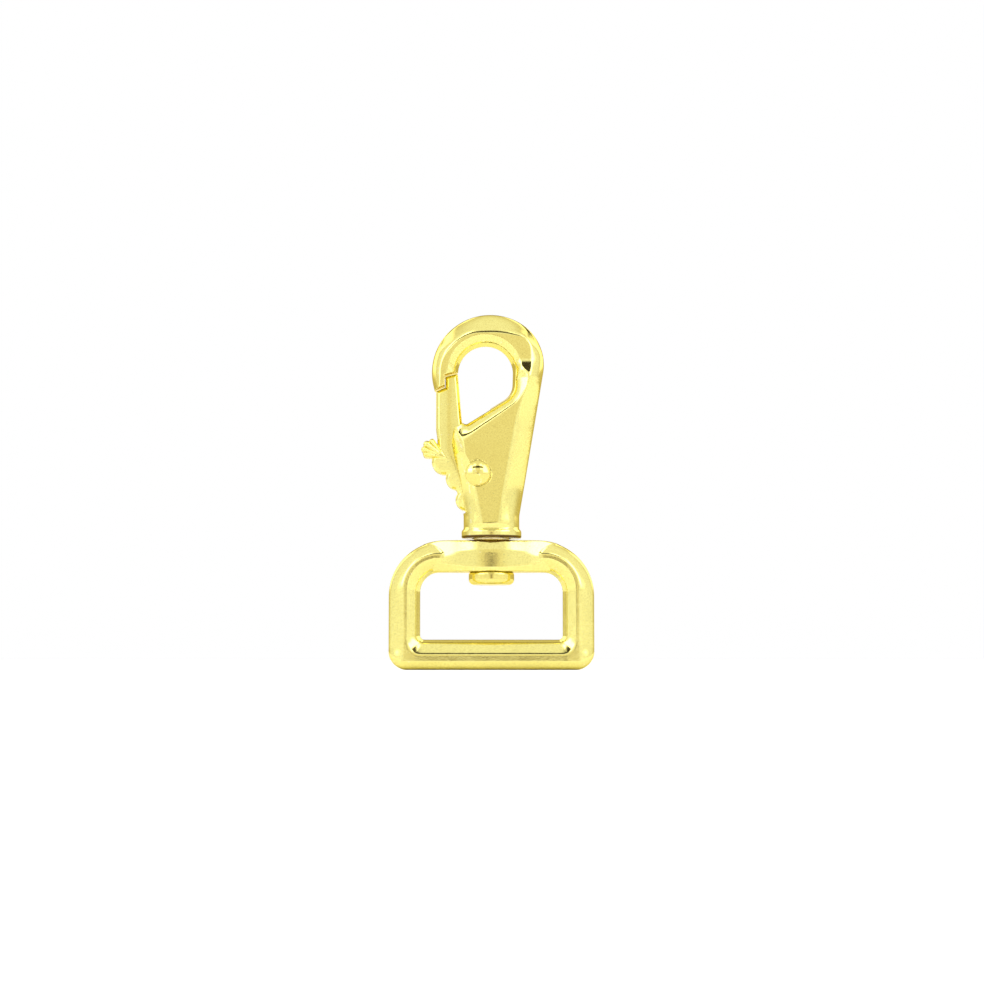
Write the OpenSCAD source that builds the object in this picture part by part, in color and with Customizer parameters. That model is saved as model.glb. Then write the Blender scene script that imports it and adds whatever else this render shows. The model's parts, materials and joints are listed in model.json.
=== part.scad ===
// Swivel snap hook with a strap loop: a cast hook with a sprung thumb gate, turning on a headed post.
// X runs across the strap, Y front to back and Z up the swivel axis. Z = 0 is the underside of the loop.

/* [Strap loop] */
// Clear width of the strap opening
strap_w = 25.4; // [22:0.2:30]
// Clear height of the strap opening
strap_h = 12; // [10:0.5:15]
// Width of each side bar
side_bar = 5.6; // [5.2:0.1:6.5]
// Height of the bottom bar
bottom_bar = 5.35; // [5:0.05:6.5]
// Height of the top bar, which carries the swivel
top_bar = 5.6; // [5.4:0.1:6.5]
// Thickness of the loop's bars, front to back
loop_t = 4.8; // [4.4:0.1:5.4]
// Depth of the swivel boss at the middle of the top bar
boss_d = 8; // [7.4:0.1:8.6]

/* [Swivel] */
// Diameter of the swivel post
post_d = 4.6; // [4.2:0.1:4.8]
// Radial running clearance of the post in the loop
post_clear = 0.06; // [0.03:0.01:0.1]
// Diameter of the post's button head
button_d = 8.1; // [7.4:0.1:8.8]
// Height of the button head
button_h = 2.35; // [2:0.05:2.8]
// Gap between the loop and the hook's collar
collar_gap = 0.4; // [0.3:0.05:0.8]
// Outer diameter of the thrust washer
washer_d = 6.4; // [6:0.1:6.8]

/* [Hook] */
// Diameter of the collar at the foot of the hook
collar_d = 10.6; // [10.4:0.1:11]
// Diameter of the neck above the collar
neck_d = 10.2; // [10:0.1:10.4]
// Thickness of the hook at the neck
neck_t = 9.8; // [9.4:0.1:10]
// Thickness of the ring around the eye
ring_t = 6.3; // [5.8:0.1:7]
// Radius of the eye
eye_r = 4.92; // [4.5:0.02:5]

/* [Gate] */
// Thickness of the gate
gate_t = 4; // [3.6:0.1:4.2]
// Clearance between the gate and each cheek
gate_side_clear = 0.15; // [0.1:0.05:0.25]
// Thickness of the thumb rest
thumb_t = 5.2; // [4.4:0.1:5.6]
// Diameter of the gate's hinge pin
pin_d = 2; // [1.8:0.1:2.2]
// Radial running clearance of the gate on its pin
pin_clear = 0.05; // [0.03:0.01:0.1]
// Diameter of the spring wire
wire_d = 0.5; // [0.4:0.05:0.5]

/* [Hidden] */

$fn = 48;
HULL_FN = 32;
CUT = 0.02;

// Strap loop
loop_w = strap_w + 2 * side_bar;
loop_h = bottom_bar + strap_h + top_bar;
opening_top = bottom_bar + strap_h;
top_corner_r = 9.85;
foot_corner_r = 3.4;
opening_top_r = 3.6;
opening_foot_r = 0.75;
// Each level of a bevelled edge is [share of the half thickness, how far it is set in]
LOOP_EDGE = [[0.25, 0], [0.6, 0.7], [0.85, 1.6], [1, 2.6]];
loop_rim_y = 1.2;
loop_rim_slope = 1.08;
boss_half_w = 8.6;
boss_face_h = 3.1;

// Hook, with heights measured from the collar's underside
collar_z = loop_h + collar_gap;
collar_h = 1.35;
flare_h = 0.3;
hook_left = [-0.2, 29.85];
hook_left_r = 10.5;
hook_right = [0.5, 31.25];
hook_right_r = 8.93;
neck_top = 4;
shoulder_h = 24;
ring_foot = 29;
HOOK_EDGE = [[0.18, 0], [0.5, 0.7], [0.75, 1.9], [1, 3.6]];
eye_top = [-1.07, 29.65];
eye_side = [0.39, 27.73];
eye_side_r = 3.4;
eye_foot = [-4.55, 21.05];
eye_foot_r = 0.35;
eye_rim_y = 1.6;
eye_rim_slope = 0.78;

// Gate, with heights measured from the collar's underside
pivot = [-2.42, 11.35];
tooth_r = 16.95;
notch_r = 19.2;
shoulder_r = 16.7;
tongue_r = 18.5;
tooth_x = -8.56;
tongue_x = -8.23;
hub_r = 3.2;
head_r = 2.25;
head_seat_y = 4.5;
head_h = 0.95;
slot_t = gate_t + 2 * gate_side_clear;

// Spring
coil_r = 1.5;
pocket_t = 2;
pocket_r = 2.2;
WIRE_SIDES = 8;
WIRE_STEP = 20;
leg_from = 190;
coil_sweep = 855;
coil_half = 0.68;
gate_leg = 4.3;
wall_leg = 4.35;

// Swivel
recess_h = 0.45;
recess_d = 7;
post_top = 4.9;
button_clear = 0.05;
washer_clear = 0.03;

// Stands a drawing of (x, z) up in the XZ plane, centred front to back
module plate(t) {
  rotate([90, 0, 0]) linear_extrude(height = t, center = true) children();
}

// Thin copies of a drawing at the same distance in front and behind
module levels(y) {
  for (side = [-1, 1]) translate([0, side * y, 0]) plate(CUT) children();
}

// A drawing of (y, z) carried across the part in X
module beam(length) {
  rotate([90, 0, 90]) linear_extrude(height = length, center = true) children();
}

module disc(centre, r) {
  translate(centre) circle(r);
}

// ---- strap loop ----
module loop_corners(inset) {
  for (side = [-1, 1]) {
    disc([side * (loop_w / 2 - top_corner_r), loop_h - top_corner_r], top_corner_r - inset);
    disc([side * (loop_w / 2 - foot_corner_r), foot_corner_r], foot_corner_r - inset);
  }
}

module opening_corners(grow) {
  for (side = [-1, 1]) {
    disc([side * (strap_w / 2 - opening_top_r), opening_top - opening_top_r], opening_top_r + grow);
    disc([side * (strap_w / 2 - opening_foot_r), bottom_bar + opening_foot_r], opening_foot_r + grow);
  }
}

module loop_rim(side) {
  hull() {
    translate([0, side * loop_rim_y, 0]) plate(CUT) opening_corners(0, $fn = HULL_FN);
    translate([0, side * loop_t, 0]) plate(CUT)
      opening_corners((loop_t - loop_rim_y) * loop_rim_slope, $fn = HULL_FN);
  }
}

module loop_frame() {
  difference() {
    hull() for (e = LOOP_EDGE) levels(e[0] * loop_t / 2 - CUT / 2) loop_corners(e[1], $fn = HULL_FN);
    hull() plate(2 * loop_t) opening_corners(0, $fn = HULL_FN);
    loop_rim(-1);
    loop_rim(1);
  }
}

module bowed_faces(bow_r, y) {
  intersection() {
    translate([0, bow_r - y, 0]) cylinder(r = bow_r, h = loop_h + 1, $fn = 180);
    translate([0, y - bow_r, 0]) cylinder(r = bow_r, h = loop_h + 1, $fn = 180);
  }
}

// Lens-shaped boss with bowed faces, bevelled above and below its face
module swivel_boss() {
  y = boss_d / 2;
  rise = (boss_d - loop_t) / 2;
  bow_r = (boss_half_w * boss_half_w + rise * rise) / (2 * rise);
  face_low = opening_top + (top_bar - boss_face_h) / 2;
  face_high = face_low + boss_face_h;
  intersection() {
    bowed_faces(bow_r, y);
    beam(4 * boss_half_w) polygon([
      [-y, face_low], [0.9 - y, opening_top], [y - 0.9, opening_top], [y, face_low],
      [y, face_high], [y - 0.8, loop_h], [0.8 - y, loop_h], [-y, face_high]
    ]);
    hull() plate(2 * boss_d) loop_corners(0, $fn = HULL_FN);
  }
}

module strap_loop() {
  color("gold") difference() {
    union() {
      loop_frame();
      swivel_boss();
    }
    translate([0, 0, opening_top - 1]) cylinder(d = post_d + 2 * post_clear, h = top_bar + 2);
  }
}

// ---- hook body ----
module hook_shape(inset) {
  neck = neck_d / 2 - inset;
  intersection() {
    disc(hook_left, hook_left_r - inset);
    translate([-20, 0]) square([20 + hook_left[0], 60]);
  }
  disc(hook_right, hook_right_r - inset);
  translate([-neck, collar_h]) square([2 * neck, neck_top - collar_h]);
}

module hook_blank() {
  n = neck_t / 2;
  r = ring_t / 2;
  intersection() {
    hull() for (e = HOOK_EDGE) levels(e[0] * n - CUT / 2) hook_shape(e[1], $fn = HULL_FN);
    beam(30) polygon([
      [-n, 0], [n, 0], [n, neck_top], [n - 0.7, shoulder_h], [r + 0.25, ring_foot - 1.8], [r, ring_foot], [r, 50],
      [-r, 50], [-r, ring_foot], [-r - 0.25, ring_foot - 1.8], [0.7 - n, shoulder_h], [-n, neck_top]
    ]);
  }
}

module eye_shape(grow) {
  disc(eye_top, eye_r + grow);
  disc(eye_side, eye_side_r + grow);
  disc(eye_foot, eye_foot_r + grow);
}

module eye_rim(side) {
  hull() {
    translate([0, side * eye_rim_y, 0]) plate(CUT) eye_shape(0, $fn = HULL_FN);
    translate([0, side * neck_t / 2, 0]) plate(CUT)
      eye_shape((neck_t / 2 - eye_rim_y) * eye_rim_slope, $fn = HULL_FN);
  }
}

// The mouth of the hook, from the nose's tooth down the edges of the two cheeks
module mouth() {
  intersection() {
    union() {
      disc(pivot, tooth_r, $fn = 96);
      intersection() {
        disc(pivot, notch_r, $fn = 96);
        translate([tooth_x, pivot[1]]) square([5, 22]);
      }
    }
    polygon([
      [-5.5, 35], [-5.5, 24], eye_foot, [-6.6, 19.1], [-7, 17.3], [-7.05, 15.3], [-6.6, 11.6],
      [-5.5, 6.4], [-5.1, 4], [-20, 4], [-20, 35]
    ]);
  }
}

// The slot between the cheeks, with room for the whole swing of the gate
module gate_slot() {
  polygon([
    [-16, 3.9], [-4.4, 4.5], [-2.6, 5.4], [1.6, 9], [1.6, 16], [-0.1, 20], [-0.3, 26], [-5.5, 26], [-16, 20]
  ]);
}

module hook_body() {
  color("gold") translate([0, 0, collar_z]) difference() {
    union() {
      hook_blank();
      cylinder(d = collar_d, h = collar_h);
      translate([0, 0, collar_h]) cylinder(d1 = collar_d, d2 = neck_d, h = flare_h);
      cylinder(d = neck_d, h = neck_top);
    }
    hull() plate(2 * neck_t) eye_shape(0, $fn = HULL_FN);
    eye_rim(-1);
    eye_rim(1);
    plate(2 * neck_t) mouth();
    plate(slot_t) gate_slot();
    translate([pivot[0], 0, pivot[1]]) rotate([90, 0, 0]) {
      cylinder(d = pin_d, h = 2 * neck_t, center = true);
      for (side = [-1, 1]) translate([0, 0, side * (head_seat_y + 1)]) cylinder(r = head_r + 0.1, h = 2, center = true);
    }
    translate([0, 0, -1]) cylinder(d = post_d, h = post_top + 1);
    translate([0, 0, -1]) cylinder(d = recess_d, h = recess_h + 1);
  }
}

// ---- gate ----
module thumb_fan() {
  polygon([[-9.68, 17.8], [-11.96, 16.73], [-12.53, 15.8], [-12.3, 15], [-10.94, 14.35], [-9.4, 14.1]]);
}

module gate_shape() {
  difference() {
    intersection() {
      union() {
        polygon([
          [-9.9, 32], [-9.9, 19.45], [-9.68, 17.8], [-9.5, 13.6], [-7, 10.2], [-5.6, 7.2], [-3.9, 5.3],
          [-0.75, 8.65], [0.2, 13.2], [-3.4, 15.2], [-5.1, 19.5], [-5.37, 21.65], [-6.3, 32]
        ]);
        disc(pivot, hub_r);
        // Three scallops down the tail
        disc([-8.4, 13.65], 2.25);
        disc([-6.2, 10.65], 1.95);
        disc([-4.5, 6.85], 1.9);
      }
      disc(pivot, tongue_r, $fn = 96);
    }
    // The shoulder that the nose's tooth hangs over
    difference() {
      translate([-20, 20]) square([20 + tongue_x, 15]);
      disc(pivot, shoulder_r, $fn = 96);
    }
  }
}

module spring_pocket() {
  disc(pivot, pocket_r);
  polygon([
    pivot + [-pocket_r, 0], pivot + [-2.75, 4.8], pivot + [8, 4.8], pivot + [8, -1.9], pivot + [1.1, -1.9]
  ]);
}

module gate() {
  color("khaki") translate([0, 0, collar_z]) difference() {
    union() {
      plate(gate_t) gate_shape();
      plate(gate_t) thumb_fan();
      plate(thumb_t) intersection() {
        thumb_fan();
        translate([-20, 10]) square([9.8, 10]);
      }
    }
    plate(pocket_t) spring_pocket();
    translate([pivot[0], 0, pivot[1]]) rotate([90, 0, 0])
      cylinder(r = pin_d / 2 + pin_clear, h = 3 * gate_t, center = true);
  }
}

// ---- hinge pin, with a domed head on each side ----
module domed_head() {
  dome_r = (head_r * head_r + head_h * head_h) / (2 * head_h);
  intersection() {
    translate([0, 0, head_h - dome_r]) sphere(r = dome_r, $fn = 64);
    cylinder(r = head_r, h = head_h);
  }
}

module gate_pin() {
  color("goldenrod") translate([pivot[0], 0, collar_z + pivot[1]]) rotate([90, 0, 0]) {
    cylinder(d = pin_d, h = 2 * head_seat_y, center = true);
    for (side = [0, 1]) mirror([0, 0, side]) translate([0, 0, head_seat_y]) domed_head();
  }
}

// ---- torsion spring round the pin: two legs joined by a coil ----
function coil_point(t) = let (a = leg_from + coil_sweep * t)
  [coil_r * cos(a), coil_half * (2 * t - 1), coil_r * sin(a)];
function leg_dir(a) = [-sin(a), 0, cos(a)];
function spring_path() = let (steps = ceil(coil_sweep / WIRE_STEP), leg_to = leg_from + coil_sweep)
  concat(
    [coil_point(0) - gate_leg * leg_dir(leg_from)],
    [for (i = [0 : steps]) coil_point(i / steps)],
    [coil_point(1) + wall_leg * leg_dir(leg_to)]
  );
function unit(v) = v / norm(v);
function path_dir(p, i) = unit(p[min(i + 1, len(p) - 1)] - p[max(i - 1, 0)]);
function wire_ring(p, i) = let (d = path_dir(p, i), side = unit(cross([0, 1, 0], d)), up = cross(d, side))
  [for (k = [0 : WIRE_SIDES - 1]) let (a = 360 * k / WIRE_SIDES)
    p[i] + wire_d / 2 * (cos(a) * side + sin(a) * up)];

module wire(p) {
  n = WIRE_SIDES;
  last = (len(p) - 1) * n;
  polyhedron(
    points = [for (i = [0 : len(p) - 1]) each wire_ring(p, i)],
    faces = concat(
      [[for (k = [0 : n - 1]) k]],
      [for (i = [0 : len(p) - 2], k = [0 : n - 1]) let (a = i * n, b = (k + 1) % n)
        [a + k, a + n + k, a + n + b, a + b]],
      [[for (k = [n - 1 : -1 : 0]) last + k]]
    )
  );
}

module gate_spring() {
  color("silver") translate([pivot[0], 0, collar_z + pivot[1]]) wire(spring_path());
}

// ---- swivel post: a button head under the top bar and a shank up into the hook ----
module swivel_post() {
  head_top = opening_top - button_clear;
  color("goldenrod") {
    translate([0, 0, head_top - button_h]) rotate_extrude() union() {
      square([button_d / 2 - 1, button_h]);
      translate([0, 1]) square([button_d / 2, button_h - 1.4]);
      translate([button_d / 2 - 1, 1]) circle(1);
      polygon([[0, button_h - 0.5], [button_d / 2, button_h - 0.5], [button_d / 2 - 0.6, button_h], [0, button_h]]);
    }
    translate([0, 0, head_top - 1]) cylinder(d = post_d, h = collar_z + post_top - head_top + 1);
  }
}

module thrust_washer() {
  low = loop_h + washer_clear;
  color("khaki") difference() {
    translate([0, 0, low]) cylinder(d = washer_d, h = collar_z + recess_h - low);
    translate([0, 0, low - 1]) cylinder(d = post_d + 0.2, h = 4);
  }
}

hook_body();
gate();
gate_pin();
gate_spring();
swivel_post();
thrust_washer();
strap_loop();
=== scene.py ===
"""The looks of the swivel snap hook: detailed castings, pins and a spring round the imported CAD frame.

Shapes are worked out in millimetres (X across, Y back, Z up) and written to Blender in metres.
"""
import json
import math

import bpy
import numpy as np
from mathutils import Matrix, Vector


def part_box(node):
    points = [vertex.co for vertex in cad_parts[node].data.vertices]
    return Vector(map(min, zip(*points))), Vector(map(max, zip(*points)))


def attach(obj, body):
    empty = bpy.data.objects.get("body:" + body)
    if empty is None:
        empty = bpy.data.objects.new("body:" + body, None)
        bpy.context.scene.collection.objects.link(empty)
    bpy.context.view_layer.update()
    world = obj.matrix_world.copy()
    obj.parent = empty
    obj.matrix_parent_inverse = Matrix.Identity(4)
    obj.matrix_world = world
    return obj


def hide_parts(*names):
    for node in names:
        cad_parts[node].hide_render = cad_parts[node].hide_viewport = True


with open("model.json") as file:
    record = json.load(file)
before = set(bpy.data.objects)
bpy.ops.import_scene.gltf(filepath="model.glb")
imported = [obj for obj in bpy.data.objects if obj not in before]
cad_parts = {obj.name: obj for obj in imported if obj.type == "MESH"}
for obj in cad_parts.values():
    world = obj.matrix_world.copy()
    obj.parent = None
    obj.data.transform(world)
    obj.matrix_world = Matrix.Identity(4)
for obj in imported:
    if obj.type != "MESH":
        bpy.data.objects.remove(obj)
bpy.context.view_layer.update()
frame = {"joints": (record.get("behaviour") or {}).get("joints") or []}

MM = 0.001
MICRON = 0.000001


def box_mm(node):
    low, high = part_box(node)
    return np.array(low) / MM, np.array(high) / MM


hook_low, hook_high = box_mm("hook_body")
loop_low, loop_high = box_mm("strap_loop")
washer_low, washer_high = box_mm("thrust_washer")
post_low, post_high = box_mm("swivel_post")
pin_high = box_mm("gate_pin")[1]
gate_low, gate_high = box_mm("gate")
hinge = next(j for j in frame["joints"] if j["name"] == "gate_hinge")
PIVOT = (hinge["pos_m"][0] / MM, hinge["pos_m"][2] / MM)


# ---------------------------------------------------------------- outlines
class Outline:
    """A closed line of arcs joined by tangents, read as a signed distance in the XZ plane.

    The distance is negative inside. nodes are (x, z, radius, turn) discs in anticlockwise order,
    and turn is +1 round a corner that sticks out, -1 round one that goes in.
    """

    SLACK = 1e-4  # arcs and lines overlap by this much, so that no point falls between them
    FULL_TURN = 1.9 * math.pi  # a sweep past this is a zero sweep with a rounding error

    def __init__(self, nodes):
        self.arcs, self.lines = [], []
        n = len(nodes)
        normals = []
        for i in range(n):
            ax, az, ar, at = nodes[i]
            bx, bz, br, bt = nodes[(i + 1) % n]
            dx, dz = bx - ax, bz - az
            lean = (at * ar - bt * br) / math.hypot(dx, dz)
            normals.append(math.atan2(dz, dx) - math.acos(min(1.0, max(-1.0, lean))))
        for i, (x, z, r, turn) in enumerate(nodes):
            start, end = normals[i - 1], normals[i]
            sweep = (end - start) * turn % (2 * math.pi)
            if sweep > self.FULL_TURN:
                sweep = 0.0
            flip = 0.0 if turn > 0 else math.pi
            middle = start + turn * sweep / 2 + flip
            reach = math.cos(sweep / 2 + self.SLACK)
            self.arcs.append((x, z, r, turn, math.cos(middle), math.sin(middle), reach))
            nx, nz = math.cos(end), math.sin(end)
            bx, bz, br, bt = nodes[(i + 1) % n]
            px, pz = x + turn * r * nx, z + turn * r * nz
            qx, qz = bx + bt * br * nx, bz + bt * br * nz
            self.lines.append((px, pz, nx, nz, (qx - px) * -nz + (qz - pz) * nx))

    def __call__(self, x, z):
        best = np.full(np.broadcast(x, z).shape, 1e6)
        for cx, cz, r, turn, mx, mz, reach in self.arcs:
            dx, dz = x - cx, z - cz
            far = np.sqrt(dx * dx + dz * dz)
            d = turn * (far - r)
            take = (dx * mx + dz * mz >= far * reach) & (np.abs(d) < np.abs(best))
            best = np.where(take, d, best)
        for px, pz, nx, nz, length in self.lines:
            dx, dz = x - px, z - pz
            along = dz * nx - dx * nz
            d = dx * nx + dz * nz
            take = (along > -self.SLACK) & (along < length + self.SLACK) & (np.abs(d) < np.abs(best))
            best = np.where(take, d, best)
        return best


def rounded(corners):
    """The outline of a polygon whose (x, z, radius) corners are filleted, anticlockwise."""
    nodes = []
    n = len(corners)
    for i, (x, z, r) in enumerate(corners):
        px, pz, _ = corners[i - 1]
        qx, qz, _ = corners[(i + 1) % n]
        a = np.array([x - px, z - pz])
        b = np.array([qx - x, qz - z])
        a, b = a / np.hypot(*a), b / np.hypot(*b)
        turn = 1 if a[0] * b[1] - a[1] * b[0] > 0 else -1
        na, nb = np.array([-a[1], a[0]]), np.array([-b[1], b[0]])
        m = (na + nb) / (1 + na @ nb)
        nodes.append((x + turn * r * m[0], z + turn * r * m[1], r, turn))
    return Outline(nodes)


class Chart:
    """A field of x and z kept on a fine grid and read between its nodes with a cubic filter."""

    STEP = 0.12
    MARGIN = 6

    def __init__(self, field, low, high):
        self.low = np.array([low[0], low[1]]) - self.MARGIN * self.STEP
        span = np.array([high[0], high[1]]) - self.low
        self.count = np.ceil(span / self.STEP).astype(int) + self.MARGIN + 1
        x = self.low[0] + self.STEP * np.arange(self.count[0])
        z = self.low[1] + self.STEP * np.arange(self.count[1])
        self.values = field(x[:, None], z[None, :]) + np.zeros(self.count)

    @staticmethod
    def weights(t):
        """The four weights of a Catmull-Rom spline at t between its two middle nodes."""
        return (
            ((-0.5 * t + 1.0) * t - 0.5) * t,
            (1.5 * t - 2.5) * t * t + 1.0,
            ((-1.5 * t + 2.0) * t + 0.5) * t,
            (0.5 * t - 0.5) * t * t,
        )

    def __call__(self, x, z):
        u = np.clip((x - self.low[0]) / self.STEP, 1.001, self.count[0] - 3.001)
        v = np.clip((z - self.low[1]) / self.STEP, 1.001, self.count[1] - 3.001)
        i, j = np.floor(u).astype(np.int64), np.floor(v).astype(np.int64)
        wu, wv = self.weights(u - i), self.weights(v - j)
        flat, rows = self.values.ravel(), self.count[1]
        total = 0.0
        for a in range(4):
            row = (i + a - 1) * rows + j
            part = 0.0
            for b in range(4):
                part = part + wv[b] * flat[row + (b - 1)]
            total = total + wu[a] * part
        return total


def smooth_max(a, b, r):
    h = np.maximum(r - np.abs(a - b), 0.0) / r
    return np.maximum(a, b) + h * h * r * 0.25


def smooth_min(a, b, r):
    return -smooth_max(-a, -b, r)


def smooth_step(a, b, t):
    s = np.clip((t - a) / (b - a), 0.0, 1.0)
    return s * s * (3 - 2 * s)


# ---------------------------------------------------------------- surfaces
CORNERS = [(a, b, c) for a in (0, 1) for b in (0, 1) for c in (0, 1)]


def surface_net(values):
    """Quads round the zero level of a grid of values, with the vertices in grid steps."""
    inside = values < 0
    nx, ny, nz = values.shape
    count = np.zeros((nx - 1, ny - 1, nz - 1), np.int8)
    for a, b, c in CORNERS:
        count += inside[a : nx - 1 + a, b : ny - 1 + b, c : nz - 1 + c]
    active = (count > 0) & (count < len(CORNERS))
    index = np.full(active.shape, -1, np.int64)
    cells = np.argwhere(active)
    index[active] = np.arange(len(cells))
    at = {k: values[cells[:, 0] + k[0], cells[:, 1] + k[1], cells[:, 2] + k[2]] for k in CORNERS}
    # A cell's vertex is the mean of the points where its edges cross the surface
    total, hits = np.zeros((len(cells), 3)), np.zeros(len(cells))
    for p in CORNERS:
        for axis in range(3):
            if p[axis]:
                continue
            q = tuple(1 if i == axis else p[i] for i in range(3))
            crossed = (at[p] < 0) != (at[q] < 0)
            t = np.where(crossed, at[p] / np.where(crossed, at[p] - at[q], 1.0), 0.0)
            point = np.array(p, float)[None, :].repeat(len(cells), 0)
            point[:, axis] += t
            total += point * crossed[:, None]
            hits += crossed
    points = cells + total / hits[:, None]
    # Each grid edge that crosses the surface gets a quad from the four cells round it
    quads = []
    for axis in range(3):
        low = [slice(None)] * 3
        high = [slice(None)] * 3
        low[axis], high[axis] = slice(None, -1), slice(1, None)
        first, second = inside[tuple(low)], inside[tuple(high)]
        nodes = np.argwhere(first != second)
        b, c = (axis + 1) % 3, (axis + 2) % 3
        nodes = nodes[(nodes[:, b] > 0) & (nodes[:, c] > 0)]
        nodes = nodes[(nodes[:, b] < values.shape[b] - 1) & (nodes[:, c] < values.shape[c] - 1)]
        ring = []
        for db, dc in ((-1, -1), (0, -1), (0, 0), (-1, 0)):
            cell = nodes.copy()
            cell[:, b] += db
            cell[:, c] += dc
            ring.append(index[cell[:, 0], cell[:, 1], cell[:, 2]])
        quad = np.stack(ring, 1)
        solid_low = first[nodes[:, 0], nodes[:, 1], nodes[:, 2]]
        quads.append(np.where(solid_low[:, None], quad, quad[:, ::-1]))
    return points, np.concatenate(quads)


def slope(field, p, eps=0.02):
    """The gradient of field at each point of p."""
    g = np.empty_like(p)
    for axis in range(3):
        step = np.zeros(3)
        step[axis] = eps
        a, b = p + step, p - step
        g[:, axis] = (field(a[:, 0], a[:, 1], a[:, 2]) - field(b[:, 0], b[:, 1], b[:, 2])) / (2 * eps)
    return g


NEWTON_STEPS = 4
FLATTEST = 0.04  # the least squared slope that a Newton step divides by
TINY = 1e-9


def cast(name, field, low, high, step):
    """A mesh object on the zero level of field(x, y, z), with its shading normals read from the field."""
    low, high = np.array(low) - 1.5 * step, np.array(high) + 1.5 * step
    count = np.ceil((high - low) / step).astype(int) + 1
    axes = [low[i] + step * np.arange(count[i]) for i in range(3)]
    # Along Y the nodes stand half a step off the middle, so that the two halves mirror each other
    half = math.ceil(high[1] / step) + 0.5
    axes[1] = step * np.arange(-half, half + 1)
    x, y, z = axes[0][:, None, None], axes[1][None, :, None], axes[2][None, None, :]
    values = field(x, y, z) + np.zeros([len(a) for a in axes])
    points, quads = surface_net(values)
    origin = np.array([a[0] for a in axes])
    p = origin + points * step
    for _ in range(NEWTON_STEPS):
        g = slope(field, p)
        size = np.maximum((g * g).sum(1), FLATTEST)
        move = field(p[:, 0], p[:, 1], p[:, 2])[:, None] * g / size[:, None]
        length = np.sqrt((move * move).sum(1))
        p = p - move * np.minimum(1.0, 0.5 * step / np.maximum(length, TINY))[:, None]
    normal = slope(field, p)
    normal /= np.maximum(np.sqrt((normal * normal).sum(1)), TINY)[:, None]
    mesh = bpy.data.meshes.new(name)
    mesh.vertices.add(len(p))
    mesh.vertices.foreach_set("co", (p * MM).astype(np.float32).ravel())
    mesh.loops.add(4 * len(quads))
    mesh.loops.foreach_set("vertex_index", quads.astype(np.int32).ravel())
    mesh.polygons.add(len(quads))
    mesh.polygons.foreach_set("loop_start", np.arange(0, 4 * len(quads), 4, dtype=np.int32))
    mesh.polygons.foreach_set("loop_total", np.full(len(quads), 4, np.int32))
    mesh.update(calc_edges=True)
    mesh.validate()
    mesh.polygons.foreach_set("use_smooth", np.ones(len(mesh.polygons), bool))
    mesh.normals_split_custom_set_from_vertices(normal.tolist())
    return add_object(name, mesh)


def add_object(name, mesh):
    obj = bpy.data.objects.new(name, mesh)
    bpy.context.scene.collection.objects.link(obj)
    return obj


def profile(rise, bulge):
    """How far along a flank (0 to 1, squared root law) its height reaches this share of the full rise.

    bulge is the share of the rise that stands straight up at the outline, before the flank leans in
    to its crest. Past the crest the value goes on growing in a straight line.
    """
    straight_from, straight_slope = 1.06, 2.0
    a = 1 - 2 * bulge
    over = np.maximum(rise - straight_from, 0.0)
    rise = rise - over
    root = bulge + np.sqrt(np.maximum(bulge * bulge + a * rise, 1e-6))
    return (rise / root) ** 2 + straight_slope * over


def share(depth, to_crest, soften):
    """How far in from an outline towards a crest, from 0 to 1, with a soft corner at the crest."""
    u = depth / np.maximum(depth + to_crest, 0.05)
    return smooth_min(np.minimum(u, 3.0), 1.0, soften)


def from_pivot(x, z):
    return np.sqrt((x - PIVOT[0]) ** 2 + (z - PIVOT[1]) ** 2)


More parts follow.
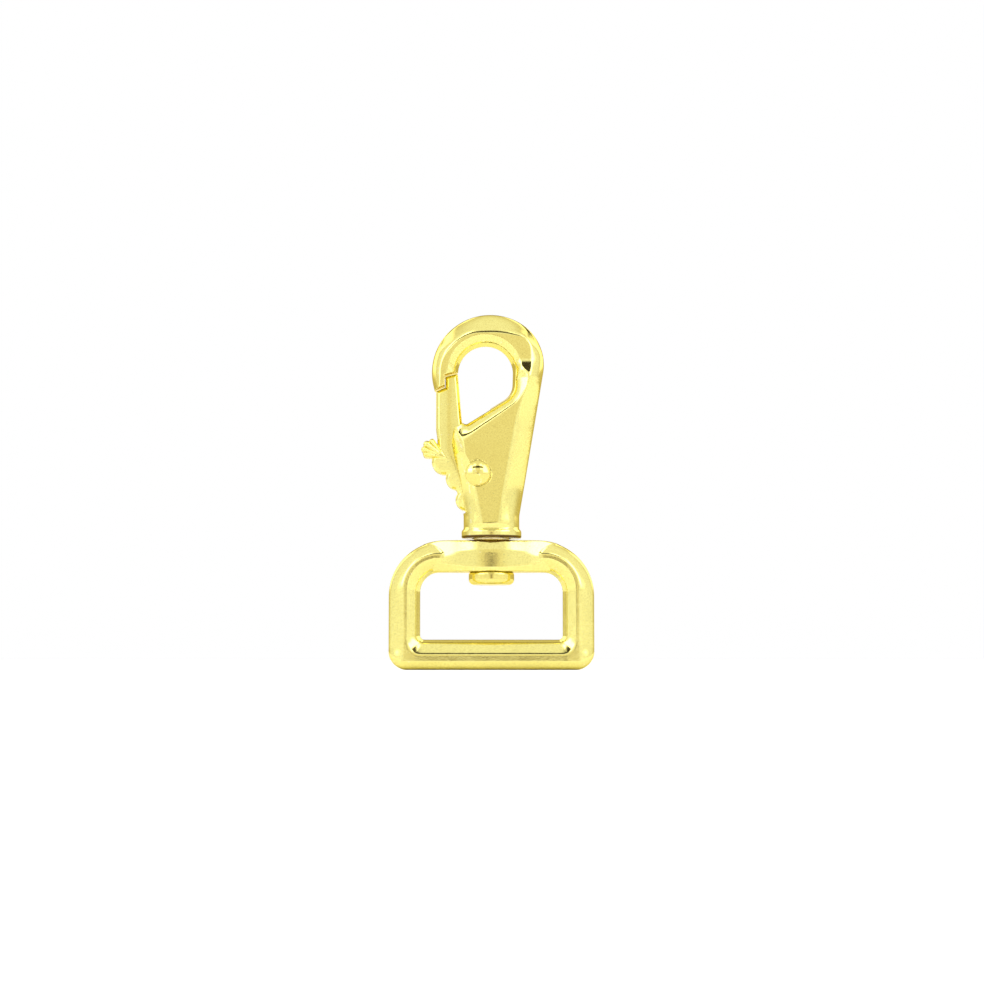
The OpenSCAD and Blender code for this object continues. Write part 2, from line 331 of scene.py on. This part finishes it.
# ---------------------------------------------------------------- hook body
def build_hook():
    """The cast hook: bevelled body and ring, a rim round the eye, the mouth, the slot and the bores."""
    foot = hook_low[2]
    neck_r, neck_z, hollow = 4.98, 27.0, 4.0
    collar_r, collar_top = 5.3, 24.75
    half_body, taper, taper_z = 4.95, 0.033, 25
    step_low, step_run, step_drop, nose_lead = 52.2, 3.2, 0.82, 7.0
    wall_body, wall_less, eye_lean = 2.42, 0.6, 0.4
    body_depth, rim_depth, rim_bulge = 2.6, 1.4, 0.44
    tongue_r, shoulder_r, tooth_x = 16.95, 18.75, -8.37
    slot_half = 2.15
    seat_r, seat_y = 2.4, 4.47
    bore_r, recess_r = 2.3, 3.5
    outer = Outline([
        (neck_r - 0.05, foot - 3, 0.05, 1), (neck_r + hollow, neck_z, hollow, -1), (0.5, 54.6, 8.93, 1),
        (-0.2, 53.2, 10.5, 1), (-neck_r - hollow, neck_z, hollow, -1), (0.05 - neck_r, foot - 3, 0.05, 1),
    ])
    crest = rounded([
        (1.3, 25.75, 0.3), (4.72, 44.9, 30), (7.05, 53.3, 9), (7.15, 59.3, 2.7), (1.6, 60.45, 16),
        (-5.2, 60.3, 6.5), (-9.1, 55.2, 7), (-9.3, 49.2, 0.4), (-6.2, 45.5, 1.5), (-5.1, 41.0, 2.4),
        (-4.75, 38.1, 2.5), (-3.75, 36.3, 2.5), (-1.6, 25.7, 0.3),
    ])
    eye = Outline([(-4.55, 44.4, 0.35, 1), (0.39, 51.08, 3.4, 1), (-1.07, 53.0, 4.92, 1)])
    rim_x, rim_z, rim_r, rim_blend = -1.15, 53.07, 6.65, 0.9
    rim_wedge = rounded([
        (-7.3, 39.2, 0.6), (4.5, 47.5, 4), (6.3, 50.0, 3), (6.95, 53.3, 1.6),
        (3.0, 53.6, 0.1), (-7.8, 53.0, 0.1),
    ])

    def rim(x, z):
        disc = np.sqrt((x - rim_x) ** 2 + (z - rim_z) ** 2) - rim_r
        return smooth_min(disc, rim_wedge(x, z), rim_blend)

    # Left of this line the cheeks are cut away for the gate
    cheek = rounded([
        (-5.5, 58.3, 0.1), (-20, 58.3, 0.1), (-20, 27.0, 0.1), (-5.05, 27.2, 0.3), (-5.5, 29.9, 8),
        (-6.6, 35.0, 8), (-7.15, 39.4, 2.5), (-6.55, 42.7, 0.8), (-4.7, 44.3, 0.15), (-4.4, 47.3, 1.0),
    ])
    slot_shape = rounded([
        (-5.5, 49.35, 0.5), (-16, 43.3, 0.5), (-16, 27.25, 0.5), (-4.4, 27.85, 1), (-2.6, 28.75, 1),
        (1.6, 32.35, 1), (1.6, 39.35, 1), (-0.1, 43.35, 1), (-0.3, 49.35, 0.5),
    ])
    low, high = (hook_low[0], hook_low[2]), (hook_high[0], hook_high[2])
    outer, crest, eye, rim, cheek, slot_shape = (
        Chart(f, low, high) for f in (outer, crest, eye, rim, cheek, slot_shape)
    )

    def field(x, y, z):
        ay = np.abs(y)
        depth = -outer(x, z)
        # The face steps down from the body to the ring; on the nose side the step falls inside the mouth
        along = z + nose_lead * (1 - smooth_step(-7, -3, x))
        step = np.clip((along - step_low) / step_run, 0.0, 1.0)
        step = 0.4 * step + 0.6 * smooth_step(0, 1, step)
        height = half_body - taper * (z - taper_z) - step_drop * step
        # The flanks are fullest at the neck, and flatter over the top of the ring
        bulge = 0.78 - 0.38 * smooth_step(25.5, 33, z) + 0.2 * smooth_step(47, 51, z)
        bulge = bulge - 0.4 * smooth_step(56.5, 59.5, z)
        right_edge = smooth_step(0, 2, x) * (1 - smooth_step(45, 48, z))
        soften = 0.1 + 0.12 * smooth_step(55.5, 58.5, z) + 0.07 * right_edge
        u = share(depth, crest(x, z), soften)
        body = (profile(ay / height, bulge) - u) * body_depth
        # Round the eye a wall stands behind the rim's own flank
        wall = wall_body - wall_less * smooth_step(47, 53, z)
        lean = eye_lean * np.minimum(ay, wall) / wall
        v = share(eye(x, z) - lean, -rim(x, z), 0.17 + 0.15 * (1 - smooth_step(45.5, 48.5, z)))
        edge = (profile(np.maximum(ay - wall, 0) / (height - wall), rim_bulge) - v) * rim_depth
        body = smooth_max(body, edge, 0.05)
        radial = np.sqrt(x * x + y * y)
        collar = smooth_max(radial - collar_r, np.maximum(z - collar_top, foot - z), 0.4)
        body = smooth_min(body, collar, 0.5)
        body = smooth_max(body, foot - z, 0.18)
        # The mouth, cut round the hinge so that the gate swings past the tooth
        turn = from_pivot(x, z)
        tooth = np.minimum(turn - tongue_r, np.maximum(turn - shoulder_r, tooth_x - x))
        body = smooth_max(body, -np.maximum(cheek(x, z), tooth), 0.14)
        slot = np.maximum(slot_shape(x, z), ay - slot_half)
        body = smooth_max(body, -slot, 0.1)
        # Seats for the pin's heads, the post's bore and the washer's recess
        seat = np.maximum(turn - seat_r, seat_y - ay)
        body = smooth_max(body, -seat, 0.08)
        bore = np.maximum(radial - bore_r, z - post_high[2])
        recess = np.maximum(radial - recess_r, z - washer_high[2])
        return smooth_max(smooth_max(body, -bore, 0.06), -recess, 0.1)

    return cast("hook_casting", field, hook_low, hook_high, 0.17)


# ---------------------------------------------------------------- strap loop
def build_loop():
    """The cast loop: flanked bars round the strap's opening, and a bowed boss on the top bar."""
    half_w, top = loop_high[0], loop_high[2]
    corner, heel = 9.85, 3.3
    half_bar, wall, wall_lean = 2.39, 0.8, 0.5
    bar_depth, rim_depth, rim_bulge = 2.0, 1.6, 0.3
    bow_r, boss_y, boss_low = 23.9, 4.0, 17.35
    upper_z, upper_dip = 21.1, 0.011
    lower_z, lower_dip = 17.95, 0.010
    bore_r, bore_low = 2.36, 15
    outer = Outline([
        (half_w - heel, heel, heel, 1), (half_w - corner, top - corner, corner, 1),
        (corner - half_w, top - corner, corner, 1), (heel - half_w, heel, heel, 1),
    ])
    opening = Outline([
        (11.95, 6.1, 0.75, 1), (9.1, 13.75, 3.6, 1), (-9.1, 13.75, 3.6, 1), (-11.95, 6.1, 0.75, 1),
    ])
    crest = Outline([
        (15.65, 1.5, 0.12, 1), (9.4, 14.2, 6.35, 1), (-9.4, 14.2, 6.35, 1), (-15.65, 1.5, 0.12, 1),
    ])
    rim = Outline([
        (12.7, 4.9, 2.2, 1), (9.3, 14.0, 5.6, 1), (-9.3, 14.0, 5.6, 1), (-12.7, 4.9, 2.2, 1),
    ])
    low, high = (loop_low[0], loop_low[2]), (loop_high[0], loop_high[2])
    outer, opening, crest, rim = (Chart(f, low, high) for f in (outer, opening, crest, rim))

    def field(x, y, z):
        ay = np.abs(y)
        depth = -outer(x, z)
        # The face falls away a little towards the outside of the arms and up the bottom bar
        height = half_bar - 0.006 * np.minimum(z, 5) - 0.033 * np.maximum(np.abs(x) - 13.5, 0)
        bulge = 0.72 - 0.36 * smooth_step(1, 4, z)
        body = (profile(ay / height, bulge) - share(depth, crest(x, z), 0.12)) * bar_depth
        # The walls of the opening lean in to a ridge half way through
        into = opening(x, z) - wall_lean * np.minimum(ay, wall) / wall
        v = share(into, -rim(x, z), 0.14)
        edge = (profile(np.maximum(ay - wall, 0) / (height - wall), rim_bulge) - v) * rim_depth
        body = smooth_max(body, edge, 0.05)
        # The boss's bowed face keeps a lens-shaped flat between an upper and a lower bevel
        bow = ay - (np.sqrt(np.maximum(bow_r**2 - x * x, 1.0)) - bow_r + boss_y)
        above = (z - upper_z + upper_dip * x * x) * 0.26 + bow * 0.966
        below = (lower_z + lower_dip * x * x - z) * 0.42 + bow * 0.907
        boss = smooth_max(smooth_max(bow, above, 0.1), below, 0.1)
        boss = smooth_max(boss, smooth_max(-depth, boss_low - z, 0.1), 0.3)
        body = smooth_min(body, boss, 0.25)
        bore = np.sqrt(x * x + y * y) - bore_r
        return smooth_max(body, -np.maximum(bore, bore_low - z), 0.1)

    return cast("loop_casting", field, loop_low, loop_high, 0.16)


# ---------------------------------------------------------------- gate
def build_gate():
    """The cast gate: a bar with a stepped tongue, a fan of flutes for the thumb and a lobed tail."""
    lobes = [(-8.4, 37.0, 2.25), (-6.2, 34.0, 1.95), (-4.5, 30.2, 1.9)]
    flutes = [(-10.6, 40.6, 0.52), (-11.5, 40.1, 0.66), (-11.95, 39.2, 0.58), (-11.7, 38.35, 0.52)]
    root_x, root_z = -8.3, 37.75
    tip_r, step_r, step_x, step_z = 18.5, 16.7, -8.23, 43.35
    bar_reach = 3.2
    half_face, roof, roof_round = 2.0, 0.12, 0.15
    ridge_x, ridge_lean, ridge_z = -7.6, 0.45, 39
    flute_lift, root_drop, lift_scale = 1.5, 0.55, 0.9
    coil_r, pocket_half, eye_r = 2.2, 1.0, 1.05
    bar = rounded([
        (-9.9, 57.3, 0.2), (-9.9, 42.8, 4), (-9.68, 41.15, 1), (-9.5, 36.9, 1), (-7, 33.5, 0.5),
        (-5.6, 30.5, 0.5), (-3.9, 28.6, 0.4), (-0.75, 32.0, 1), (0.2, 36.5, 1), (-3.4, 38.5, 1.0),
        (-5.1, 42.8, 2), (-5.37, 45.0, 1.5), (-6.4, 57.3, 0.2),
    ])
    # Room for the spring's leg, on both sides of it, over the whole swing
    pocket_leg = rounded([
        (-4.3, 34.0, 0.1), (5.6, 32.8, 0.1), (5.6, 39.5, 0.1), (-5.17, 39.5, 0.1),
        (-6.75, 38.4, 0.1), (-6.6, 37.3, 0.1),
    ])
    low, high = (gate_low[0], gate_low[2]), (gate_high[0], gate_high[2])
    bar, pocket_leg = (Chart(f, low, high) for f in (bar, pocket_leg))

    def flute(x, ay, z, tip_x, tip_z, r):
        """A ridge that runs from the fan's root to its tip and widens on the way."""
        ex, ez = tip_x - root_x, tip_z - root_z
        size = math.hypot(ex, ez)
        along = np.clip(((x - root_x) * ex + (z - root_z) * ez) / size**2, 0, 1)
        near = np.sqrt((x - root_x - along * ex) ** 2 + (z - root_z - along * ez) ** 2)
        width = r * (0.45 + 0.55 * along)
        lift = flute_lift - root_drop * (1 - along)
        return np.sqrt(near**2 + np.maximum(ay - lift, 0) ** 2 * (width / lift_scale) ** 2) - width

    def field(x, y, z):
        ay = np.abs(y)
        turn = from_pivot(x, z)
        shape = np.minimum(bar(x, z), turn - bar_reach)
        for cx, cz, r in lobes:
            shape = smooth_min(shape, np.sqrt((x - cx) ** 2 + (z - cz) ** 2) - r, 0.25)
        shape = np.maximum(shape, turn - tip_r)
        shape = np.maximum(shape, -np.maximum(x - step_x, np.maximum(step_z - z, step_r - turn)))
        # The face is a shallow roof: its ridge runs up the bar, and the tail falls away towards its lobes
        middle = x - ridge_x - ridge_lean * np.maximum(ridge_z - z, 0)
        face = ay - half_face + roof * (np.sqrt(middle * middle + roof_round) - 0.4)
        face = face + 0.02 * np.maximum(z - 38, 0)
        body = smooth_max(shape, face, 0.15)
        body = smooth_max(body, (shape + face + 0.5) * 0.7071, 0.12)
        fan = flute(x, ay, z, *flutes[0])
        for tip in flutes[1:]:
            fan = smooth_min(fan, flute(x, ay, z, *tip), 0.08)
        body = smooth_min(body, fan, 0.15)
        pocket = np.maximum(np.minimum(turn - coil_r, pocket_leg(x, z)), ay - pocket_half)
        body = np.maximum(body, -pocket)
        return np.maximum(body, eye_r - turn)

    return cast("gate_casting", field, gate_low, gate_high, 0.11)


# ---------------------------------------------------------------- turned pieces
ON_AXIS = 0.001  # the radius of the points on the axis, before they are welded


def lathe(name, points, centre, axis, sides=96):
    """A turned piece: (radius, height) points swept round an axis through centre."""
    rings = []
    for k in range(sides):
        a = 2 * math.pi * k / sides
        for r, h in points:
            rings.append((r * math.cos(a), r * math.sin(a), h))
    p = np.array(rings)
    if axis == "Y":
        p = p[:, [0, 2, 1]] * (1, -1, 1)
    p = (p + centre) * MM
    n = len(points)
    faces = []
    for k in range(sides):
        a, b = k * n, (k + 1) % sides * n
        for i in range(n - 1):
            faces.append((a + i, b + i, b + i + 1, a + i + 1))
    mesh = bpy.data.meshes.new(name)
    mesh.from_pydata(p.tolist(), [], faces)
    mesh.validate()
    for poly in mesh.polygons:
        poly.use_smooth = True
    obj = add_object(name, mesh)
    weld = obj.modifiers.new("weld", "WELD")
    weld.merge_threshold = 1e-6
    return obj


def arc_points(centre, r, start, end, steps=10):
    """Points round an arc, from the angle start to the angle end in degrees."""
    points = []
    for i in range(steps + 1):
        a = math.radians(start + (end - start) * i / steps)
        points.append((centre[0] + r * math.cos(a), centre[1] + r * math.sin(a)))
    return points


def crisp(points, gap=0.02):
    """Adds a close pair of points at each corner, so that smooth shading keeps flats flat."""
    out = []
    for i, (r, h) in enumerate(points):
        out.append((r, h))
        if i + 1 < len(points):
            r2, h2 = points[i + 1]
            size = math.hypot(r2 - r, h2 - h)
            if size > 6 * gap:
                for t in (gap / size, 1 - gap / size):
                    out.append((r + (r2 - r) * t, h + (h2 - h) * t))
    return out


def build_post():
    """The swivel post, with its button head under the loop's top bar."""
    shank_r, shank_top, bevel = 2.3, post_high[2], 0.2
    button_r, button_low, button_top = post_high[0], post_low[2], loop_low[2] + 17.3
    crown, round_r, lip_r = 0.12, 1.0, 0.4
    points = [(ON_AXIS, button_low), (button_r - round_r, button_low + crown)]
    points += arc_points((button_r - round_r, button_low + crown + round_r), round_r, -88, 0)
    points += [(button_r, button_top - 0.45)]
    points += arc_points((button_r - lip_r, button_top - 0.42), lip_r, 0, 80, 5)
    points += [(button_r - 0.6, button_top), (shank_r, button_top), (shank_r, shank_top - bevel)]
    points += [(shank_r - bevel, shank_top), (ON_AXIS, shank_top)]
    return lathe("post_turned", crisp(points), (0, 0, 0), "Z", 128)


def build_washer():
    """The thrust washer: a flat ring with a bevelled lower edge inside and outside."""
    low, high, outer_r = washer_low[2], washer_high[2], washer_high[0]
    hole_r, hole_bevel, bevel = 2.4, 0.08, 0.12
    points = [
        (hole_r, low + hole_bevel), (hole_r + hole_bevel, low), (outer_r - bevel, low),
        (outer_r, low + bevel), (outer_r, high), (hole_r, high), (hole_r, low + hole_bevel),
    ]
    return lathe("washer_pressed", crisp(points), (0, 0, 0), "Z", 128)


def build_pin():
    """The gate's pin, with a domed head on each side of the hook."""
    dome_r, head_r, head_y, shank_r = 3.14, 2.25, 4.55, 1.0
    under_r, under_y = head_r - 0.05, head_y - 0.05
    head = arc_points((0, pin_high[1] - dome_r), dome_r, 90, 44, 12)
    points = head + [(head_r, head_y), (under_r, under_y), (shank_r, under_y)]
    points += [(shank_r, -under_y), (under_r, -under_y), (head_r, -head_y)]
    points += [(r, -h) for r, h in reversed(head)]
    points = crisp([(max(r, ON_AXIS), h) for r, h in points])
    return lathe("pin_riveted", points, (PIVOT[0], 0, PIVOT[1]), "Y", 96)


# ---------------------------------------------------------------- spring
def build_spring():
    """The torsion spring: a coil round the pin with a straight leg at each end."""
    coil_r, wire_r, half_length = 1.5, 0.25, 0.68
    start, sweep = 190.0, 855.0
    steps, sides = 170, 14
    end_taper = 0.75

    def coil(t):
        a = math.radians(start + sweep * t)
        return np.array([coil_r * math.cos(a), half_length * (2 * t - 1), coil_r * math.sin(a)])

    def tangent(degrees):
        a = math.radians(degrees)
        return np.array([-math.sin(a), 0, math.cos(a)])

    path = [coil(0) - d * tangent(start) for d in (4.3, 4.2, 2.8, 1.4, 0.5)]
    path += [coil(i / steps) for i in range(steps + 1)]
    path += [coil(1) + d * tangent(start + sweep) for d in (0.5, 1.4, 2.8, 4.25, 4.35)]
    path = np.array(path) + (PIVOT[0], 0, PIVOT[1])
    last = len(path) - 1
    verts, faces = [], []
    for i, p in enumerate(path):
        d = path[min(i + 1, last)] - path[max(i - 1, 0)]
        d /= np.linalg.norm(d)
        side = np.cross([0, 1, 0], d)
        side /= np.linalg.norm(side)
        up = np.cross(d, side)
        r = wire_r * (end_taper if i in (0, last) else 1.0)
        for k in range(sides):
            a = 2 * math.pi * k / sides
            verts.append((p + r * (math.cos(a) * side + math.sin(a) * up)) * MM)
    for i in range(last):
        for k in range(sides):
            b = (k + 1) % sides
            faces.append((i * sides + k, (i + 1) * sides + k, (i + 1) * sides + b, i * sides + b))
    faces.append(tuple(range(sides)))
    faces.append(tuple(last * sides + k for k in reversed(range(sides))))
    mesh = bpy.data.meshes.new("spring_wire")
    mesh.from_pydata([tuple(v) for v in verts], [], faces)
    for poly in mesh.polygons:
        poly.use_smooth = len(poly.vertices) == 4
    return add_object("spring_wire", mesh)


hook = build_hook()
loop = build_loop()
gate = build_gate()
post = build_post()
washer = build_washer()
pin = build_pin()
spring = build_spring()


# ---------------------------------------------------------------- shader helpers
def map_range(tree, value, low, high, out_low=0.0, out_high=1.0, smooth=False):
    """Carries value from low..high to out_low..out_high, and holds it there outside."""
    n = tree.nodes.new("ShaderNodeMapRange")
    if smooth:
        n.interpolation_type = "SMOOTHSTEP"
    for key, number in (("From Min", low), ("From Max", high), ("To Min", out_low), ("To Max", out_high)):
        n.inputs[key].default_value = number
    tree.links.new(value, n.inputs["Value"])
    return n.outputs["Result"]


def mix_colours(tree, amount, a, b):
    """Goes from colour a to colour b as amount goes from 0 to 1."""
    n = tree.nodes.new("ShaderNodeMix")
    n.data_type = "RGBA"
    tree.links.new(amount, n.inputs["Factor"])
    for name, value in (("A", a), ("B", b)):
        socket = next(i for i in n.inputs if i.name == name and i.type == "RGBA")
        if isinstance(value, tuple):
            socket.default_value = (*value, 1)
        else:
            tree.links.new(value, socket)
    return next(o for o in n.outputs if o.type == "RGBA")


def tinted(colour, tint):
    return tuple(c * t for c, t in zip(colour, tint))


# ---------------------------------------------------------------- materials
GOLD = (0.925, 0.845, 0.29)
GOLD_TURNED = (0.90, 0.79, 0.24)
GOLD_PALE = (0.93, 0.82, 0.50)
WEAR_AND_HIGHLIGHT = (0.95, 0.91, 0.62)
GLANCING = (0.90, 0.80, 0.40)
GAP_SHADE_BROWN = (0.12, 0.07, 0.025)
STEEL, STEEL_WEAR_AND_HIGHLIGHT, STEEL_GLANCING = (0.62, 0.61, 0.58), (0.75, 0.74, 0.72), (0.9, 0.9, 0.9)


def metal(name, base, rough, grain, peel, edge_wear_and_highlight=WEAR_AND_HIGHLIGHT, glancing=GLANCING, painted_shade_below=None):
    """Plated metal: orange-peel bump, fine grain, a colour that drifts, and paler edges, partly wear and
    partly a painted highlight.

    grain and peel are the heights of the two bumps in microns. Below the height given for the collar's
    shade (mm) the metal is painted dark brown, a painted shade for the shadowed gap under the collar.
    """
    mat = bpy.data.materials.new(name)
    mat.use_nodes = True
    tree = mat.node_tree
    bsdf = next(n for n in tree.nodes if n.type == "BSDF_PRINCIPLED")
    bsdf.inputs["Metallic"].default_value = 1.0
    bsdf.inputs["Specular Tint"].default_value = (*glancing, 1)
    where = tree.nodes.new("ShaderNodeTexCoord").outputs["Object"]

    def noise(scale, detail, roughness=0.5):
        n = tree.nodes.new("ShaderNodeTexNoise")
        n.inputs["Scale"].default_value = scale
        n.inputs["Detail"].default_value = detail
        n.inputs["Roughness"].default_value = roughness
        tree.links.new(where, n.inputs["Vector"])
        return n.outputs["Fac"]

    def bump(height, microns, under=None):
        n = tree.nodes.new("ShaderNodeBump")
        n.inputs["Strength"].default_value = 1.0
        n.inputs["Distance"].default_value = microns * MICRON
        tree.links.new(height, n.inputs["Height"])
        if under is not None:
            tree.links.new(under, n.inputs["Normal"])
        return n.outputs["Normal"]

    drift = map_range(tree, noise(180, 3), 0.35, 0.65)
    colour = mix_colours(tree, drift, base, tinted(base, (0.965, 0.955, 0.90)))
    # Paler colour on convex edges and creases: partly edge wear, partly a painted highlight along the
    # creases
    pointiness = tree.nodes.new("ShaderNodeNewGeometry").outputs["Pointiness"]
    colour = mix_colours(tree, map_range(tree, pointiness, 0.54, 0.64, 0.0, 0.7), colour, edge_wear_and_highlight)
    mottle = map_range(tree, noise(3400, 2, 0.6), 0.38, 0.66)
    colour = mix_colours(tree, mottle, colour, tinted(base, (0.90, 0.87, 0.80)))
    specks = map_range(tree, noise(2400, 2, 0.7), 0.64, 0.74, 0.0, 0.5)
    colour = mix_colours(tree, specks, colour, tinted(base, (0.5, 0.5, 0.5)))
    # Painted shade: below the given height the colour turns dark brown, for the shadowed gap under the
    # collar
    if painted_shade_below is not None:
        split = tree.nodes.new("ShaderNodeSeparateXYZ")
        tree.links.new(where, split.inputs[0])
        blend = 0.05
        low, high = (painted_shade_below - blend) * MM, (painted_shade_below + blend) * MM
        dark = map_range(tree, split.outputs["Z"], low, high, 1.0, 0.0)
        colour = mix_colours(tree, dark, colour, GAP_SHADE_BROWN)
    tree.links.new(colour, bsdf.inputs["Base Color"])
    sheen = map_range(tree, noise(420, 5, 0.6), 0.3, 0.7, rough * 0.75, rough * 1.35)
    tree.links.new(sheen, bsdf.inputs["Roughness"])
    orange_peel = bump(noise(500, 2), peel)
    tree.links.new(bump(noise(4200, 3, 0.6), grain, orange_peel), bsdf.inputs["Normal"])
    return mat


# Up to this height the hook's collar is painted dark brown, a painted shade for the gap under it
collar_shade = hook_low[2] + 0.42
gold_cast = metal("gold_cast", GOLD, 0.10, 6.0, 14)
gold_hook = metal("gold_hook", GOLD, 0.10, 6.0, 14, painted_shade_below=collar_shade)
gold_gate = metal("gold_gate", GOLD, 0.12, 7.0, 16)
gold_turned = metal("gold_turned", GOLD_TURNED, 0.09, 2.2, 5)
gold_washer = metal("gold_washer", GOLD_PALE, 0.22, 6.0, 8)
spring_steel = metal("spring_steel", STEEL, 0.22, 2.0, 3, STEEL_WEAR_AND_HIGHLIGHT, STEEL_GLANCING)

for obj, mat, body, node, slot in (
    (hook, gold_hook, "hook", "hook_body", "gold_cast_hook"),
    (gate, gold_gate, "gate", "gate", "gold_cast_gate"),
    (pin, gold_turned, "hook", "gate_pin", "gold_rivet"),
    (post, gold_turned, "hook", "swivel_post", "gold_post"),
    (washer, gold_washer, "hook", "thrust_washer", "gold_washer"),
    (spring, spring_steel, "hook", "gate_spring", "spring_steel"),
    (loop, gold_cast, "loop", "strap_loop", "gold_cast_loop"),
):
    obj.data.materials.clear()
    obj.data.materials.append(mat)
    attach(obj, body)
    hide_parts(node)


# ---------------------------------------------------------------- floor
def plain(name, colour, rough):
    mat = bpy.data.materials.new(name)
    mat.use_nodes = True
    bsdf = next(n for n in mat.node_tree.nodes if n.type == "BSDF_PRINCIPLED")
    bsdf.inputs["Base Color"].default_value = (*colour, 1)
    bsdf.inputs["Roughness"].default_value = rough
    return mat


bpy.ops.mesh.primitive_plane_add(size=3.0, location=(0, 0, 0))
floor = bpy.context.object
floor.name = "studio_floor"
floor.data.materials.append(plain("floor_white", (0.97, 0.97, 0.97), 0.9))

# ---------------------------------------------------------------- world
world = bpy.data.worlds.new("studio")
bpy.context.scene.world = world
world.use_nodes = True
sky_tree = world.node_tree
sky_tree.nodes.clear()
direction = sky_tree.nodes.new("ShaderNodeTexCoord").outputs["Generated"]
split = sky_tree.nodes.new("ShaderNodeSeparateXYZ")
sky_tree.links.new(direction, split.inputs[0])
east, north, up = split.outputs


def calc(operation, *values):
    n = sky_tree.nodes.new("ShaderNodeMath")
    n.operation = operation
    for i, value in enumerate(values):
        if isinstance(value, (int, float)):
            n.inputs[i].default_value = value
        else:
            sky_tree.links.new(value, n.inputs[i])
    return n.outputs[0]


def degrees(angle):
    return calc("DIVIDE", angle, math.radians(1))


def soft(value, low, high, out_low=0.0, out_high=1.0):
    return map_range(sky_tree, value, low, high, out_low, out_high, smooth=True)


def window(value, rising, falling):
    """1 between a rising and a falling soft edge, each (low, high), and 0 outside them."""
    return calc("MULTIPLY", soft(value, *rising), soft(value, *falling, 1.0, 0.0))


# Angles of a direction, the same in front of the object and behind it
ahead = calc("ABSOLUTE", calc("MULTIPLY", north, -1.0))
aside = calc("ABSOLUTE", east)
elevation = degrees(calc("ARCSINE", up))
azimuth = degrees(calc("ARCTAN2", aside, ahead))
rise = degrees(calc("ARCTAN2", up, ahead))


def patch(az, el_low, el_high, edge):
    """1 inside a patch of the surroundings, az degrees either side of straight ahead, and 0 outside it."""
    across = soft(azimuth, az - edge, az + edge, 1.0, 0.0)
    height = window(elevation, (el_low - edge, el_low + edge), (el_high - edge, el_high + edge))
    return calc("MULTIPLY", across, height)


FRONT_WALL, BACK_WALL = (1.05, 1.05, 1.05), (0.70, 0.62, 0.43)
SOFTBOX = (3.3, 3.3, 3.25)
CREAM, DARK_BAR = (0.95, 0.88, 0.72), (0.05, 0.04, 0.03)
CAMERA_BROWN, LENS_BLACK = (0.57, 0.495, 0.43), (0.02, 0.02, 0.02)


def paint(sky, where, colour):
    return mix_colours(sky_tree, where, sky, colour)


sky = mix_colours(sky_tree, soft(north, -0.05, 0.5), FRONT_WALL, BACK_WALL)
# White softboxes on both sides: a low wide one, and a narrower one above it
low_box = calc("MULTIPLY", window(azimuth, (33, 40), (66, 76)), window(elevation, (2, 13), (44, 56)))
high_box = calc("MULTIPLY", window(azimuth, (15, 24), (40, 50)), window(elevation, (22, 30), (58, 68)))
boxes = calc("MULTIPLY", calc("MAXIMUM", low_box, high_box), soft(north, -0.1, 0.1, 1.0, 0.45))
sky = paint(sky, boxes, SOFTBOX)
# Straight ahead: a cream wall, a dark bar over it, and the camera with its lens
sky = paint(sky, patch(11, -40, 24, 4), CREAM)
bar = calc("MULTIPLY", window(rise, (35, 41), (50, 57)), soft(aside, 0.48, 0.62, 1.0, 0.0))
sky = paint(sky, bar, DARK_BAR)
sky = paint(sky, patch(6, -20, 3.9, 0.8), CAMERA_BROWN)
sky = paint(sky, patch(1.2, 0.8, 3.7, 0.5), LENS_BLACK)
# The picture's own background is plain white
seen = sky_tree.nodes.new("ShaderNodeLightPath").outputs["Is Camera Ray"]
sky = paint(sky, seen, (1.0, 1.0, 1.0))
background = sky_tree.nodes.new("ShaderNodeBackground")
background.inputs["Strength"].default_value = 1.0
sky_tree.links.new(sky, background.inputs["Color"])
world_out = sky_tree.nodes.new("ShaderNodeOutputWorld")
sky_tree.links.new(background.outputs[0], world_out.inputs[0])

# ---------------------------------------------------------------- camera
DISTANCE = 0.37
TILT = math.radians(-4.6)
LOOK_AT = (0.0001, 0.0, 0.0318)
FRAME_AT_OBJECT = 0.1761
cam_data = bpy.data.cameras.new("camera")
cam = bpy.data.objects.new("camera", cam_data)
bpy.context.scene.collection.objects.link(cam)
cam.location = (LOOK_AT[0], -DISTANCE * math.cos(TILT), LOOK_AT[2] + DISTANCE * math.sin(TILT))
cam.rotation_euler = (math.radians(90) - TILT, 0, 0)
cam_data.sensor_width = 36
cam_data.lens = cam_data.sensor_width * DISTANCE / FRAME_AT_OBJECT
cam_data.clip_start = 0.01
cam_data.clip_end = 20
bpy.context.scene.camera = cam
bpy.context.scene.view_settings.view_transform = "Standard"
